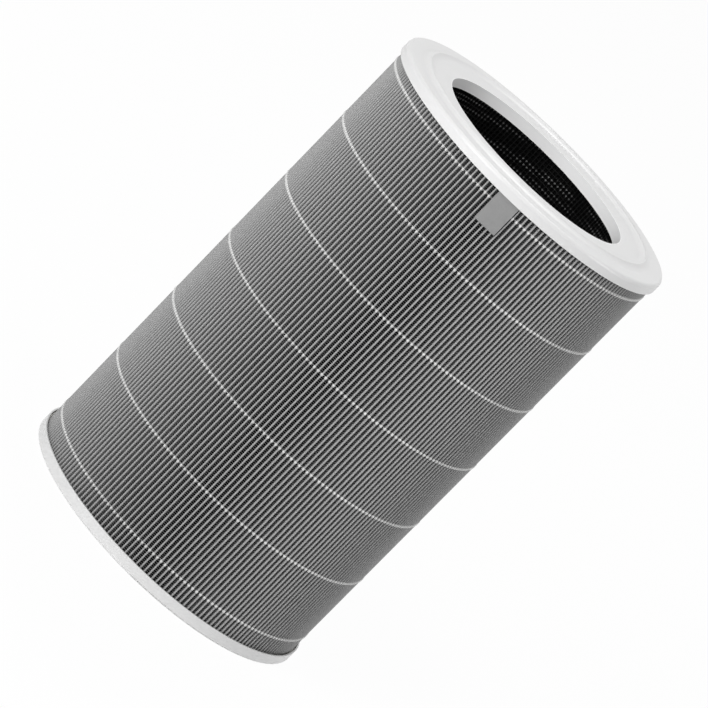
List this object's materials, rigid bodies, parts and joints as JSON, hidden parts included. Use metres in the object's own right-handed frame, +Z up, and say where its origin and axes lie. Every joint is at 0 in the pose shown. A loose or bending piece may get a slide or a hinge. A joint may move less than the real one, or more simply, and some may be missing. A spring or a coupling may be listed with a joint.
{
  "type": "air purifier filter",
  "caption": "Upright cylindrical pleated filter with white ring caps, lines of glue round the pleats, an open core lined with black net, and a grey pull tab.",
  "frame": {"origin": "middle of the face that it stands on", "axes": "+Z up along the filter's own axis, towards the open end; the pull tab is at the front, -Y"},
  "size_m": [0.201, 0.201, 0.32],
  "materials": {
    "cap_plastic": "smooth matte white moulding",
    "potting": "cured off-white adhesive",
    "filter_media": "pale grey pleated sheet with a fine net over it",
    "hot_melt": "milky hot-melt glue",
    "net_plastic": "fine black extruded net",
    "carbon": "black carbon granules",
    "tab_cloth": "plain grey nonwoven strip"
  },
  "bodies": {
    "root": {"bottom_end_cap": "cap_plastic", "top_end_cap": "cap_plastic", "bottom_potting": "potting", "top_potting": "potting", "pleated_media": "filter_media", "media_seam": "hot_melt", "inner_net": "net_plastic", "outer_net": "net_plastic", "carbon_bed": "carbon", "pull_tab": "tab_cloth", "outer_bead_1": "hot_melt", "inner_bead_1": "hot_melt", "outer_bead_2": "hot_melt", "inner_bead_2": "hot_melt", "outer_bead_3": "hot_melt", "inner_bead_3": "hot_melt", "outer_bead_4": "hot_melt", "inner_bead_4": "hot_melt", "outer_bead_5": "hot_melt", "inner_bead_5": "hot_melt", "outer_bead_6": "hot_melt", "inner_bead_6": "hot_melt", "outer_bead_7": "hot_melt", "inner_bead_7": "hot_melt"}
  },
  "joints": []
}
